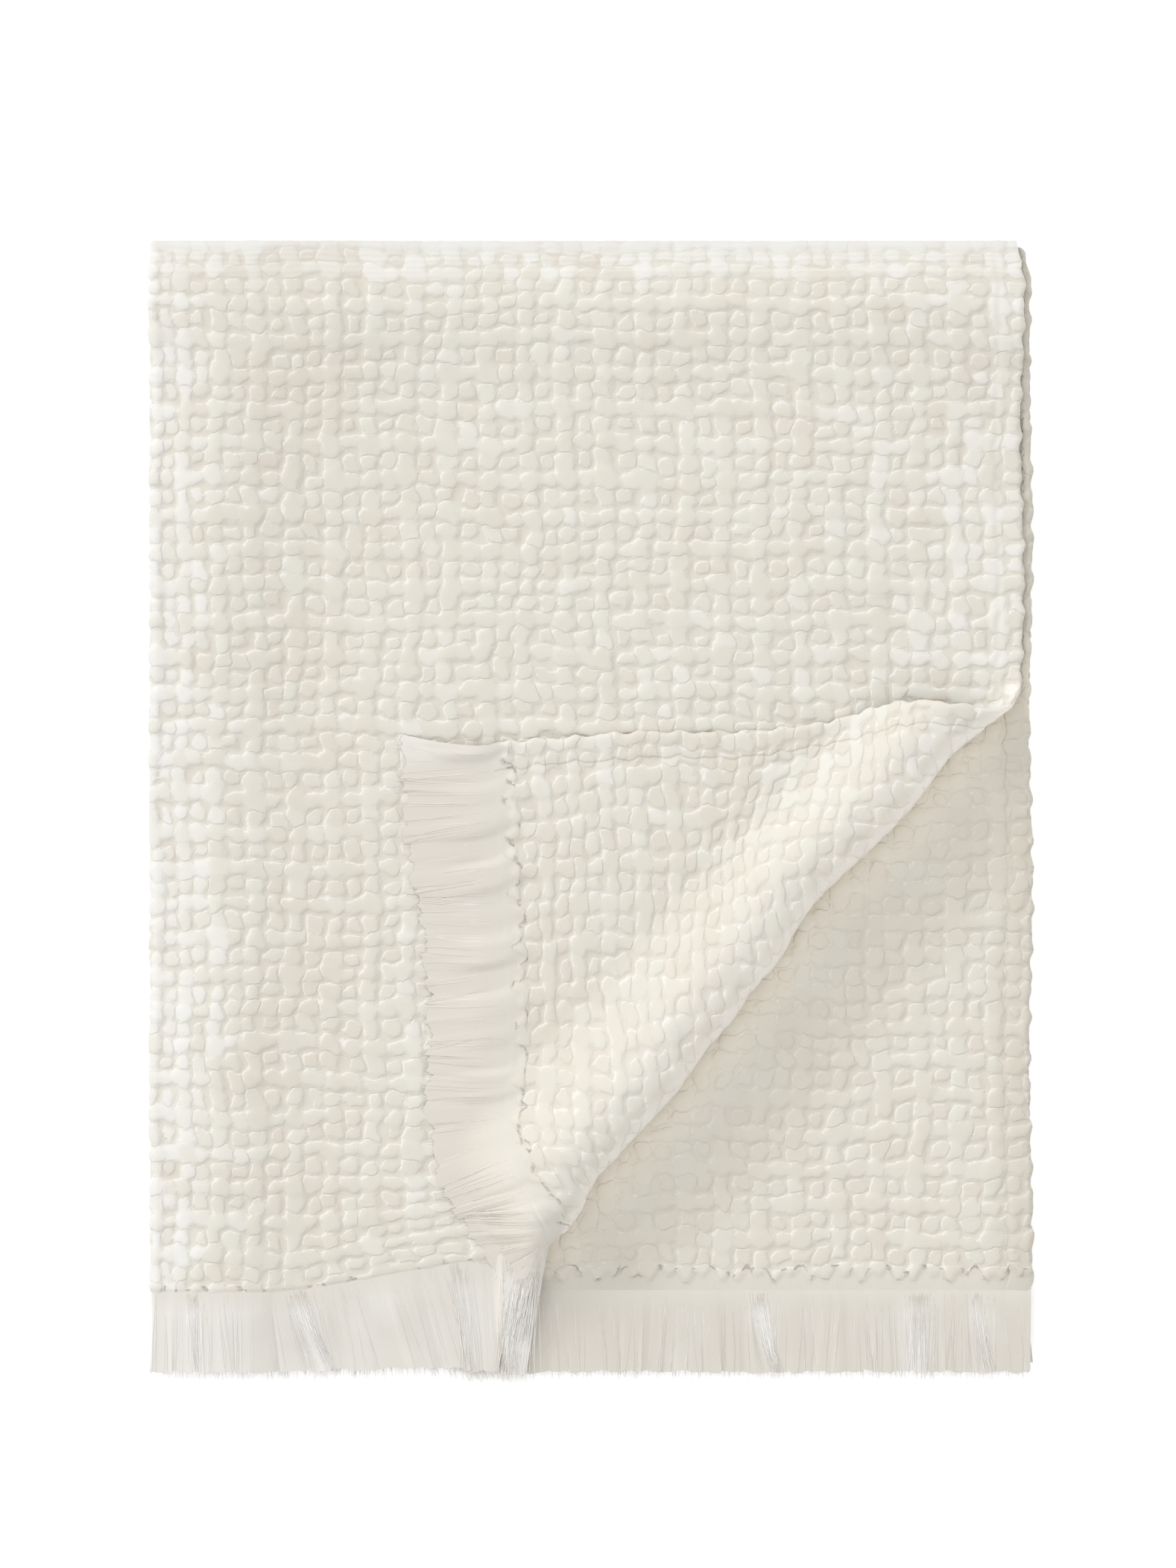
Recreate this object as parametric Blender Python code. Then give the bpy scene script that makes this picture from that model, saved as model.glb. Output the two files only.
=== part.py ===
"""Cotton blanket, folded in four, with the top layer's free corner turned back.

The cloth is one oblong with a fringe along each short end.  It is folded once along its
length and once across, so four layers lie on the XY plane: the long fold is at -X, the
cross fold at +Y, the four selvedges at +X and the fringed ends at -Y.  The uppermost
layer's free corner is turned back over a soft roll and shows the wrong side.

A point of the flat cloth is (across, along).  across is its distance from the long fold,
positive in the half that becomes the outside of the folded blanket.  along is its distance
from the cross fold, positive in the half that ends up on top.  Lengths are in metres.
"""
import math

import bmesh
import bpy
from mathutils import Vector
from mathutils.geometry import delaunay_2d_cdt

# Cloth and stack
CLOTH_THICKNESS = 0.003
LAYER_PITCH = 0.005            # from the middle of one layer to the middle of the next
FOLD_LEFT = -0.326             # outside of the long fold
FOLD_TOP = 0.417               # outside of the cross fold
FRINGE_BASE = -0.363
FRINGE_TIP = -0.417
FRINGE_GAP = 0.0006            # in the flat cloth; the roll closes it to about 0.4 mm

# The two folds
LONG_FOLD_RADIUS = LAYER_PITCH / 2
LONG_FOLD_ARC = LONG_FOLD_RADIUS * math.pi / 2
CROSS_FOLD_ARC = LAYER_PITCH * math.pi / 2
CROSS_FOLD_AXIS = FOLD_TOP - CLOTH_THICKNESS / 2 - 1.5 * LAYER_PITCH
ACROSS_ORIGIN = FOLD_LEFT + CLOTH_THICKNESS / 2 + LONG_FOLD_RADIUS - LONG_FOLD_ARC
ALONG_ORIGIN = CROSS_FOLD_AXIS + CROSS_FOLD_ARC
HALF_LENGTH = ALONG_ORIGIN - FRINGE_BASE
FRINGE_END = ALONG_ORIGIN - FRINGE_TIP

# Right-hand edge of each layer: X of the selvedge, and the wave that it makes
SELVEDGE = {
    # (side, half): (edge x, wave height, wave length, phase)
    (+1, +1): (0.3180, 0.0012, 0.210, 0.4),
    (-1, +1): (0.3248, 0.0012, 0.260, 2.6),
    (-1, -1): (0.3215, 0.0010, 0.240, 1.1),
    (+1, -1): (0.3230, 0.0010, 0.190, 5.0),
}
CORNER_DRAW = 0.007            # how far the selvedges draw in where they cross the fold
CORNER_REACH = 0.016

# Soft ridges that the folded edges hold up, and the stack's slow ripple
RIDGES = (
    # name, crest distance from the fold, spread, height
    ("long fold", 0.058, 0.042, 0.0052),
    ("cross fold", 0.052, 0.038, 0.0048),
)
RIPPLES = (
    # across count per metre, along count per metre, phase, height
    (2.1, 1.3, 0.6, 0.0009),
    (-1.7, 3.1, 2.2, 0.0008),
    (4.3, 2.4, 4.0, 0.0005),
)

# Turned-back corner.  It is read along the diagonal of the folded blanket: "down" runs
# from the turned-back side towards the bare corner, "up" runs along the crease.
CREASE = (
    # up, reach of the roll, radius of the roll, line that the settled corner is mirrored on
    (-0.420, 0.207, 0.0170, 0.212),
    (-0.257, 0.207, 0.0170, 0.210),
    (-0.200, 0.196, 0.0160, 0.207),
    (-0.120, 0.194, 0.0155, 0.203),
    (-0.060, 0.186, 0.0150, 0.199),
    (0.000, 0.179, 0.0150, 0.195),
    (0.070, 0.166, 0.0150, 0.192),
    (0.150, 0.168, 0.0150, 0.189),
    (0.215, 0.161, 0.0150, 0.185),
    (0.270, 0.166, 0.0160, 0.180),
    (0.400, 0.166, 0.0160, 0.180),
)
TAKE_UP_LENGTH = 0.140         # cloth over which the roll's spare length is eased in
ROLL_FALL = 0.085              # cloth over which the corner comes down behind the roll
CORNER_SHIFT = 0.009           # how far the corner lies up the crease from its mirror place
PULL_UP = 0.036                # how far the roll's fringed end is pulled up the crease

# Where the flat cloth bends, as distances from the two folds
ACROSS_LINES = (0.0, 0.002, LONG_FOLD_ARC, 0.024, 0.048, 0.072, 0.100, 0.140)
ALONG_LINES = (0.0, 0.0022, 0.0048, CROSS_FOLD_ARC, 0.024, 0.046, 0.068, 0.095, 0.135)
PLAIN_STEP = 0.054
ROLL_LINES = (-0.032, -0.012, 0.0, 0.0065, 0.013, 0.0195, 0.026, 0.0325, 0.039, 0.0455,
              0.052, 0.060, 0.072, 0.088, 0.106, 0.130, 0.165, 0.205, 0.250, 0.300)
UP_PLACES = [0.030 * i for i in range(-14, 12)]
ROLL_ON_SELVEDGE = (0.02, 0.16)     # the y between which the selvedge goes round the roll
ROLL_ON_END = (-0.20, 0.02)         # the x between which the fringed end does
EDGE_STEP = 0.0095
EDGE_CLEARANCE = 0.006
PROBE = 0.0004                      # step used to find which way the cloth faces

# Fringe bunches
BUNCH_PITCH = 0.0435
BUNCH_SLIT = 0.004
SLIT_ROOT = 0.014              # unparted length at the cloth's end
TIP_UNEVEN = 0.004
TIP_ROUND = 0.002

CREAM = (0.79, 0.74, 0.65, 1.0)
PALE_CREAM = (0.82, 0.79, 0.73, 1.0)


def smooth(value):
    """Ease from 0 to 1 as value goes from 0 to 1."""
    value = min(max(value, 0.0), 1.0)
    return value * value * (3.0 - 2.0 * value)


def crease_at(up):
    """Start, radius and mirror line of the roll at a place along the crease."""
    for row, following in zip(CREASE, CREASE[1:]):
        if up <= following[0]:
            break
    share = smooth((up - row[0]) / (following[0] - row[0]))
    reach, radius, mirror = [a + (b - a) * share for a, b in zip(row[1:], following[1:])]
    return reach - radius, radius, mirror


def layer_gap(across, along):
    """Distance between the middles of neighbouring layers at a place in the stack."""
    lifts = []
    for distance, (_, crest, spread, height) in zip((across, along), RIDGES):
        lifts.append(height * math.exp(-((distance - crest) / spread) ** 2))
    lift = lifts[0] + lifts[1] - lifts[0] * lifts[1] / RIDGES[0][3]
    for count_across, count_along, phase, height in RIPPLES:
        turns = count_across * across + count_along * along
        lift += height * math.sin(2 * math.pi * turns + phase)
    return LAYER_PITCH + lift / 3


def folded(across, along):
    """Place of a point once both folds are made."""
    gap = layer_gap(abs(across), abs(along))
    half_turn = min(max(across / LONG_FOLD_ARC, -1.0), 1.0) * math.pi / 2
    level = 1.0 + 0.5 * math.sin(half_turn)
    x = ACROSS_ORIGIN + abs(across)
    if abs(across) < LONG_FOLD_ARC:
        x = FOLD_LEFT + CLOTH_THICKNESS / 2 + LONG_FOLD_RADIUS * (1 - math.cos(half_turn))
    turn = min(max(along / CROSS_FOLD_ARC, -1.0), 1.0) * math.pi / 2
    y = ALONG_ORIGIN - abs(along)
    if abs(along) < CROSS_FOLD_ARC:
        y = CROSS_FOLD_AXIS + level * LAYER_PITCH * math.cos(turn)
    middle = CLOTH_THICKNESS / 2 + 1.5 * gap
    return Vector((x, y, middle + level * gap * math.sin(turn)))


def turned_back(place):
    """Place of a point of the top layer once its free corner is turned back."""
    down = (place.x - place.y) / math.sqrt(2)
    up = (place.x + place.y) / math.sqrt(2)
    start, radius, mirror = crease_at(up)
    past = down - start
    pull = PULL_UP * smooth((-up - 0.150) / 0.150) * smooth((past + 0.110) / 0.120)
    up_now = up + pull * (1 - smooth((past - 0.030) / 0.080))
    if past <= 0:
        down_now = down
        height = 0.0
    elif past <= math.pi * radius:
        down_now = start + radius * math.sin(past / radius)
        height = radius * (1 - math.cos(past / radius))
    else:
        beyond = past - math.pi * radius
        spare = 2 * (mirror - start) - math.pi * radius
        down_now = start - beyond + spare * smooth(beyond / TAKE_UP_LENGTH)
        fall = smooth(beyond / ROLL_FALL)
        height = LAYER_PITCH + (2 * radius - LAYER_PITCH) * (1 - fall)
        up_now += CORNER_SHIFT * smooth(beyond / TAKE_UP_LENGTH)
    x = (up_now + down_now) / math.sqrt(2)
    y = (up_now - down_now) / math.sqrt(2)
    gap = layer_gap(x - ACROSS_ORIGIN, ALONG_ORIGIN - y)
    return Vector((x, y, CLOTH_THICKNESS / 2 + 3 * gap + height))


def placed(across, along):
    """Place of a point of the flat cloth in the finished blanket."""
    place = folded(across, along)
    if across > LONG_FOLD_ARC and along > CROSS_FOLD_ARC:
        return turned_back(place)
    return place


def selvedge(side, along):
    """Signed distance from the long fold to a selvedge."""
    edges = []
    for half in (+1, -1):
        edge, wave, length, phase = SELVEDGE[side, half]
        edges.append(edge + wave * math.sin(2 * math.pi * along / length + phase))
    upper = smooth(0.5 + along / 0.080)
    edge = edges[1] + (edges[0] - edges[1]) * upper
    draw = CORNER_DRAW * math.exp(-(along / CORNER_REACH) ** 2)
    return side * (edge - ACROSS_ORIGIN - draw)


def stations(lines, last, step):
    """The bend lines of a half, carried on in even steps to the last one."""
    count = round((last - lines[-1]) / step)
    return list(lines) + [lines[-1] + (last - lines[-1]) * (i + 1) / count for i in range(count)]


def both_ways(distances):
    return sorted({-distance for distance in distances} | set(distances))


def crease_rows():
    """Flat places (x, y) in rows that follow the roll."""
    for past in ROLL_LINES:
        for up in UP_PLACES:
            down = crease_at(up)[0] + past
            yield (up + down) / math.sqrt(2), (up - down) / math.sqrt(2)


def past_crease(x, y):
    """How far a flat place lies past the start of the roll."""
    return (x - y) / math.sqrt(2) - crease_at((x + y) / math.sqrt(2))[0]


def face_direction(across, along):
    """Unit vector square to the finished cloth at a point of the flat cloth."""
    run_across = placed(across + PROBE, along) - placed(across - PROBE, along)
    run_along = placed(across, along + PROBE) - placed(across, along - PROBE)
    return run_across.cross(run_along).normalized()


def sheet_object(name, outline, inner, material):
    """Cut a flat shape, fold it and give it its thickness."""
    points = [Vector(point) for point in outline + inner]
    edges = [(i, (i + 1) % len(outline)) for i in range(len(outline))]
    flat, _, faces, _, _, _ = delaunay_2d_cdt(points, edges, [], 1, 1e-6)
    bm = bmesh.new()
    right = []
    wrong = []
    for point in flat:
        middle = placed(point.x, point.y)
        half = face_direction(point.x, point.y) * CLOTH_THICKNESS / 2
        right.append(bm.verts.new(middle + half))
        wrong.append(bm.verts.new(middle - half))
    for face in faces:
        bm.faces.new([right[i] for i in face])
    partner = dict(zip(right, wrong))
    loops = [edge.link_loops[0] for edge in bm.edges if edge.is_boundary]
    rim = [(loop.vert, loop.link_loop_next.vert) for loop in loops]
    for face in faces:
        bm.faces.new([wrong[i] for i in reversed(face)])
    for start, end in rim:
        bm.faces.new((end, start, partner[start], partner[end]))
    mesh = bpy.data.meshes.new(name)
    bm.to_mesh(mesh)
    bm.free()
    mesh.materials.append(material)
    piece = bpy.data.objects.new(name, mesh)
    bpy.context.collection.objects.link(piece)
    return piece


def cloth(material):
    """The whole oblong cloth, one solid."""
    alongs = both_ways(stations(ALONG_LINES, HALF_LENGTH, PLAIN_STEP))
    acrosses = both_ways(stations(ACROSS_LINES, selvedge(+1, 0.3), PLAIN_STEP)[:-1])
    climbing = [ALONG_ORIGIN - y for y in ROLL_ON_SELVEDGE]
    outer_alongs = finer(alongs, climbing)[1:-1]
    outline = [(a, -HALF_LENGTH) for a in end_stations(-1)]
    outline += [(selvedge(+1, along), along) for along in outer_alongs]
    outline += [(a, HALF_LENGTH) for a in reversed(end_stations(+1))]
    outline += [(selvedge(-1, along), along) for along in reversed(alongs[1:-1])]
    inner = [(a, b) for a in acrosses for b in alongs[1:-1] if not in_corner(a, b)]
    for x, y in crease_rows():
        across = x - ACROSS_ORIGIN
        along = ALONG_ORIGIN - y
        if across < selvedge(+1, along) - EDGE_CLEARANCE and along < HALF_LENGTH - EDGE_CLEARANCE:
            inner.append((across, along))
    return sheet_object("blanket_cloth", outline, inner, material)


def finer(distances, stretch):
    """The stations of an edge, made finer along a stretch that goes round the roll."""
    first, last = min(stretch), max(stretch)
    count = round((last - first) / EDGE_STEP)
    kept = [d for d in distances if not first - EDGE_STEP < d < last + EDGE_STEP]
    return sorted(kept + [first + (last - first) * i / count for i in range(count + 1)])


def end_stations(half):
    """Stations across a short end, from selvedge to selvedge."""
    ends = [selvedge(side, half * HALF_LENGTH) for side in (-1, +1)]
    inside = both_ways(stations(ACROSS_LINES, ends[1], PLAIN_STEP)[:-1])
    if half > 0:
        inside = finer(inside, [x - ACROSS_ORIGIN for x in ROLL_ON_END])
    return [ends[0]] + inside + [ends[1]]


def in_corner(across, along):
    """Whether a place belongs to the turned-back corner or its roll."""
    if across <= 0 or along <= 0:
        return False
    past = past_crease(ACROSS_ORIGIN + across, ALONG_ORIGIN - along)
    return past > ROLL_LINES[0] - PLAIN_STEP / 3


def bunches(side, half):
    """Outline and inner points of the thread bunches between the long fold and a selvedge."""
    start = side * LONG_FOLD_ARC
    reach = selvedge(side, half * HALF_LENGTH) - start
    count = round(abs(reach) / BUNCH_PITCH)
    pitch = reach / count
    root = HALF_LENGTH + FRINGE_GAP
    outline = []
    inner = []
    for i in range(count):
        near = start + pitch * i
        far = near + pitch
        slit = side * BUNCH_SLIT / 2
        tip = FRINGE_END - TIP_UNEVEN * (0.5 + 0.5 * math.sin(2.4 * i + half))
        outline.append((near, half * (root + SLIT_ROOT)))
        outline.append((near + slit, half * (tip - TIP_ROUND)))
        outline.append(((near + far) / 2, half * tip))
        outline.append((far - slit, half * (tip - TIP_ROUND)))
        rolled = half > 0 and ROLL_ON_END[0] < ACROSS_ORIGIN + near < ROLL_ON_END[1]
        columns = 5 if rolled else 2
        for column in range(1, columns + 1):
            across = near + pitch * column / (columns + 1)
            inner.append((across, half * (root + SLIT_ROOT)))
            inner.append((across, half * (root + 2 * SLIT_ROOT)))
    outline.append((near + pitch, half * (root + SLIT_ROOT)))
    return outline, inner


def fringe(name, half, material):
    """One comb of thread bunches along a short end of the cloth."""
    inside, inside_points = bunches(-1, half)
    outside, outside_points = bunches(+1, half)
    slit_root = half * (HALF_LENGTH + FRINGE_GAP + SLIT_ROOT)
    bend = [(across, slit_root) for across in both_ways(ACROSS_LINES[:2])]
    roots = [(across, half * (HALF_LENGTH + FRINGE_GAP)) for across in end_stations(half)]
    outline = inside[::-1] + bend + outside + roots[::-1]
    return sheet_object(name, outline, inside_points + outside_points, material)


def cotton(name, colour, roughness):
    material = bpy.data.materials.new(name)
    material.use_nodes = True
    shader = material.node_tree.nodes["Principled BSDF"]
    shader.inputs["Base Color"].default_value = colour
    shader.inputs["Roughness"].default_value = roughness
    shader.inputs["Metallic"].default_value = 0.0
    return material


def main():
    for old in list(bpy.data.objects):
        bpy.data.objects.remove(old, do_unlink=True)
    cloth(cotton("Cream cotton weave", CREAM, 0.9))
    fringe("fringe_upper_end", +1, cotton("Cream cotton thread, upper end", PALE_CREAM, 0.85))
    fringe("fringe_lower_end", -1, cotton("Cream cotton thread, lower end", PALE_CREAM, 0.85))


main()
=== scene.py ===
"""Cotton blanket folded in four, with one corner turned back: its weave, fringes and light.

A point of the flat cloth is (across, along).  across is its distance from the long fold,
positive in the half that is the outside of the folded blanket.  along is its distance from
the cross fold, positive in the half that lies on top.  Sides and halves are +1 where these
are positive and -1 elsewhere.  Lengths are in metres.
"""
import math

import bpy
import numpy as np
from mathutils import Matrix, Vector
from mathutils.geometry import delaunay_2d_cdt


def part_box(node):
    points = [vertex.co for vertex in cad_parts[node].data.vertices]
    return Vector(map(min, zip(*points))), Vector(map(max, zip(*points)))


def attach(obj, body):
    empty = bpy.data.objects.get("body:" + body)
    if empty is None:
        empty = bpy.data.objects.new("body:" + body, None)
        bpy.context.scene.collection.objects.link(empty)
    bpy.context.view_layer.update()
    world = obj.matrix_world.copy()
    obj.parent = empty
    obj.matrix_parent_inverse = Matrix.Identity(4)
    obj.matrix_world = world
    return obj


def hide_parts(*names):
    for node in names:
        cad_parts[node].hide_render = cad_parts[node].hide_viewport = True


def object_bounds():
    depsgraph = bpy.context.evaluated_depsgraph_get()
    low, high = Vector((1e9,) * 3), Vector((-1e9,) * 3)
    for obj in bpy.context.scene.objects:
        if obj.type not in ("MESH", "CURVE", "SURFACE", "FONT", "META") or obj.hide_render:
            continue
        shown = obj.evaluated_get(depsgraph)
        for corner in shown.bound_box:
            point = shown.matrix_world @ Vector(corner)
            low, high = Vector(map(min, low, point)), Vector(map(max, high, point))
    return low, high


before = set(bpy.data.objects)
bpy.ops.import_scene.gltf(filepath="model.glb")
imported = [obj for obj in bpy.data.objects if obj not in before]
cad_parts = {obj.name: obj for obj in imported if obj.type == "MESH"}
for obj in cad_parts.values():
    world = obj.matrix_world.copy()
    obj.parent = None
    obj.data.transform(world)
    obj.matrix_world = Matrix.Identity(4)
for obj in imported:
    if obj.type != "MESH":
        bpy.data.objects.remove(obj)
CAD_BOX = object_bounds()

bl_info = {
    "name": "Folded Cotton Blanket",
    "version": (1, 0, 0),
    "blender": (4, 5, 0),
    "location": "3D View > Sidebar > Blanket",
    "description": "Weaves, folds and lights a cream cotton blanket with fringed ends",
    "category": "Object",
}

# Places taken from the model
CLOTH_LOW, CLOTH_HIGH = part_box("blanket_cloth")
FOLD_LEFT = CLOTH_LOW[0]
FOLD_TOP = CLOTH_HIGH[1]
FRINGE_BASE = CLOTH_LOW[1]
FRINGE_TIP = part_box("fringe_lower_end")[0][1]

# The stack and its two folds
CLOTH_THICKNESS = 0.003
LAYER_PITCH = 0.005
LONG_FOLD_RADIUS = LAYER_PITCH / 2
LONG_FOLD_ARC = LONG_FOLD_RADIUS * math.pi / 2
CROSS_FOLD_ARC = LAYER_PITCH * math.pi / 2
CROSS_FOLD_AXIS = FOLD_TOP - CLOTH_THICKNESS / 2 - 1.5 * LAYER_PITCH
ACROSS_ORIGIN = FOLD_LEFT + CLOTH_THICKNESS / 2 + LONG_FOLD_RADIUS - LONG_FOLD_ARC
ALONG_ORIGIN = CROSS_FOLD_AXIS + CROSS_FOLD_ARC
HALF_WIDTH = 0.650             # of the flat cloth, before its selvedges wander
HALF_LENGTH = ALONG_ORIGIN - FRINGE_BASE
FRINGE_LENGTH = FRINGE_BASE - FRINGE_TIP

# Right-hand edge of each layer: X of the selvedge, and the wave that it makes
SELVEDGE = {
    # (side, half): (edge x, wave height, wave length, phase)
    (+1, +1): (0.3180, 0.0012, 0.210, 0.4),
    (-1, +1): (0.3248, 0.0012, 0.260, 2.6),
    (-1, -1): (0.3215, 0.0010, 0.240, 1.1),
    (+1, -1): (0.3230, 0.0010, 0.190, 5.0),
}
SCALLOPS = (
    # turns per metre, phase, height
    (37.0, 0.0, 0.0009),
    (62.0, 1.7, 0.0006),
    (101.0, 4.0, 0.0002),
)
EDGE_CHANGE = 0.080            # cloth over which a selvedge goes from one layer's place to the next
CORNER_DRAW = 0.007            # how far the selvedges draw in where they cross the fold
CORNER_REACH = 0.016

# Soft ridges that the folded edges hold up, and the stack's slow ripple
TALLEST_RIDGE = 0.0052
RIDGES = (
    # of the long fold and of the cross fold: distance of the crest, spread, height
    (0.058, 0.042, TALLEST_RIDGE),
    (0.052, 0.038, 0.0048),
)
RIPPLES = (
    # turns per metre across and along, phase, height
    (2.1, 1.3, 0.6, 0.0009),
    (-1.7, 3.1, 2.2, 0.0008),
    (4.3, 2.4, 4.0, 0.0005),
)

# Turned-back corner, read along the diagonal of the folded blanket: "down" runs towards
# the bare corner, "up" runs along the crease
CREASE = np.array((
    # up, reach of the roll, radius of the roll, line that the settled corner is mirrored on
    (-0.420, 0.207, 0.0170, 0.212),
    (-0.257, 0.207, 0.0170, 0.210),
    (-0.200, 0.196, 0.0160, 0.207),
    (-0.120, 0.194, 0.0155, 0.203),
    (-0.060, 0.186, 0.0150, 0.199),
    (0.000, 0.179, 0.0150, 0.195),
    (0.070, 0.166, 0.0150, 0.192),
    (0.150, 0.168, 0.0150, 0.189),
    (0.215, 0.161, 0.0150, 0.185),
    (0.270, 0.166, 0.0160, 0.180),
    (0.400, 0.166, 0.0160, 0.180),
))
TAKE_UP_LENGTH = 0.140         # cloth over which the roll's spare length is eased in
ROLL_FALL = 0.085              # cloth over which the corner comes down behind the roll
CORNER_SHIFT = 0.009           # how far the corner lies up the crease from its mirror place
PULL_UP = 0.036                # how far the roll's fringed end is pulled up the crease
PULL_DOWN_CREASE = (0.150, 0.150)    # where the pull starts down the crease, and its reach
PULL_BEFORE_ROLL = (-0.110, 0.120)   # where it starts, from the start of the roll, and its reach
PULL_PAST_ROLL = (0.030, 0.080)      # where it dies out, from the start of the roll, and its reach
PROBE = 0.0004                 # step used to find which way the cloth faces

# Weave: blocks of two by two puffs.  Domes and bridges make up a ridge; the row after it
# holds a bar under each dome and a button in each window between the bars.
PUFFS = (
    # name, half width and half length in cells, height, squareness,
    # share of them that run into the ridge after, share that run into the ridge before
    ("dome", 0.62, 0.66, 1.00, 2.3, 0.00, 1.00),
    ("bridge", 0.56, 0.48, 0.80, 2.6, 0.00, 0.80),
    ("bar", 0.49, 0.54, 0.80, 3.0, 0.50, 0.28),
    ("button", 0.44, 0.45, 0.46, 3.2, 0.09, 0.07),
)
BAR, BUTTON = 2, 3             # rows of these two
PUFF_ROUND = 6.0               # how flat a puff's top is before it falls to its rim
MERGE = 0.07                   # how softly puffs that run together meet
# The colour follows the lean too: painted highlight on rims facing the key, painted shade in far creases
LEAN = np.array((1.0, -1.0, 0.0)) / math.sqrt(2)    # each puff leans over the next this way, away from the key light
LEAN_STEP = 0.1                # step used to find a puff's leaning side, in cells
ODD_SHIFT = 0.11               # how far odd puffs shift, in cells
ODD_SIZE = 0.20                # share by which their size varies
ODD_HEIGHT = 0.28              # share by which their height varies
BUTTON_SHADE = 0.5              # how much warmer and darker the low buttons are: painted shade in the windows they sit in
ODD_TABLE = (131, 113, 7)      # rows and columns of cells in the table of odd puffs, numbers for each
WEAVE_SEED, FRINGE_SEED = 11, 41
DRIFTS = (
    # turns per metre across and along, phase, cells moved across, cells moved along
    (1.9, 5.1, 1.0, 0.16, 0.08),
    (7.3, -3.1, 2.1, 0.09, 0.12),
    (3.7, 8.9, 4.2, 0.06, 0.10),
    (31.0, 17.0, 0.5, 0.05, 0.07),
    (-23.0, 41.0, 2.5, 0.07, 0.04),
    (67.0, 59.0, 1.1, 0.035, 0.045),
    (-83.0, 71.0, 3.9, 0.045, 0.030),
)
SQUEEZES = (
    # cells gained beside a fold, and the distance that they are gained over
    (1.1, 0.034),
    (0.9, 0.026),
)
GLOW = (
    # of the roll's flank, its crest, the cloth beside it and the shade beyond that, painted into the colour:
    # place past the start of the roll, reach, strength, above 0 for painted light and below 0 for painted
    # shade
    (0.030, 0.011, 1.0),
    (0.054, 0.010, -0.5),
    (0.0155, 0.022, 1.0),
    (0.084, 0.028, -0.60),
)
BARE_HALF = 0.0008             # half of the cloth's thickness at the foot of the puffs
PLAIN_HALF = 0.0012            # half of its thickness where nothing shows
PLAIN_LIFT = 0.25              # share of a puff's height that the plain bands and the hem have
HEM_PRESSED = 0.35             # share of their height that puffs lose in the hem
STITCH_PRESSED = 0.85          # share that they lose under the stitches
STITCH_REACH = 0.0018          # cloth on both sides of the stitches
FOLD_PRESSED = 0.65            # share that they lose on the cross fold
FOLD_PRESSED_REACH = 0.026     # cloth beside the fold over which they lose it
BULGE_REACH = 0.012            # cloth over which the long edges bulge
HEM_RIM = 0.001                # cloth over which the hem begins
SELVEDGE_ROUND = 0.003         # cloth over which the puffs run out at the selvedges
END_ROUND = 0.010              # cloth over which they run out at the ends
BAND_UNEVEN = 0.45             # share by which the plain bands vary
BAND_RIM = 0.005               # cloth over which they begin
FLOOR_GAP = 0.0002             # least height of anything over the floor
WRONG_SIDE_TINT = 0.60         # how much warmer the wrong side is
RIM_ANGLE = math.radians(70)   # edges sharper than this are shaded as edges
THREAD_HEIGHT = 0.00002        # heights of the finest relief, which the mesh is too coarse for
TUCK_HEIGHT = 0.00045
LINE_HEIGHT = 0.00007
COMBED_HEIGHT = 0.00012
HEM_HEIGHT = 0.00028
STITCH_DEPTH = 0.00018
STREAK_HEIGHT = 0.00006
THREADS = 5700                 # turns of the fine threads, in radians per metre
PLAIN_BAND = (HALF_LENGTH - 0.024, HALF_LENGTH - 0.010)    # where its colour begins and is full
IRONED_LINES = 1500            # turns of the fine lines on the cross fold, in radians per metre

# Fringe: soft waves along an end, as turns per metre, slant in turns per metre, and share
BUNCH_WAVES = ((23.0, 3.0, 0.40), (37.0, -5.0, 0.32), (61.0, 9.0, 0.20), (103.0, -14.0, 0.14))
SLANT_WAVES = ((9.0, 0.0, 0.5), (27.0, 0.0, 0.4), (71.0, 0.0, 0.3))
TIP_WAVES = ((31.0, 0.0, 0.4), (77.0, 0.0, 0.4), (173.0, 0.0, 0.2), (389.0, 0.0, 0.2))
PLEAT_WAVES = ((21.0, 5.0, 0.6), (34.0, 8.0, 0.4))
LOCKS = (
    # of the upper end: place across, reach, lean at the tips, spread at the tips
    (0.107, 0.009, 0.017, 0.0),
    (0.033, 0.006, 0.006, 0.2),
    (0.205, 0.007, -0.010, 0.0),
    (0.641, 0.010, 0.012, 0.0),
    (-0.450, 0.007, -0.012, 0.1),
    (-0.568, 0.011, 0.000, 0.6),
    (-0.611, 0.006, -0.013, 0.0),
)
TUFT = (0.002, 0.034)          # stretch of the end whose strands hang, past the crease
TUFT_RIMS = (0.005, 0.012)     # cloth over which they start and stop hanging
TUFT_MIDDLE = -0.062           # X that they gather towards
TUFT_GATHER = 0.6              # share of the way there that their tips go
COVERED = 0.26                 # stretch of the second layer's end that lies under the first
FLAT_REACH = 0.006             # cloth over which strands change from flat cloth to the roll
MAT_REACH = 0.0045             # how far the mat passes the model's tips; covered, it stops half as far short
LOOSE_REACH = 0.0120           # how far past them the longest loose strand runs
CUT_UNEVEN = 1.5               # how much more unevenly strands are cut on the turned-back corner
CORNER_STRANDS = 0.009         # how much longer the strands are at the turned-back corner
CORNER_STRETCH = (0.50, 0.10)  # where they start to be longer, and its reach
LAST_CLOTH = 0.002             # last stretch of cloth, whose direction the strands carry on
ROOT_SHARE = -0.06             # share of a strand's length where the mat comes out of the cloth
STRAND_LIFT = 0.0040           # how high strands lie over the middle of the stack's top layer
TIP_SETTLE = 0.45              # share of that lift that their tips lose
SAG = 0.25                     # share of their height that strands lose beyond the stack
MAT_ROOT = 0.90                # share of its thickness that the mat has at its roots
MAT_BUNCHED = 0.30             # share by which its thickness varies farther out
BARE_CORNER = 0.001            # stretch at each corner without loose strands
FIRST_START, LAST_START = -0.05, 0.30    # where loose strands come out of the mat, as shares
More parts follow.
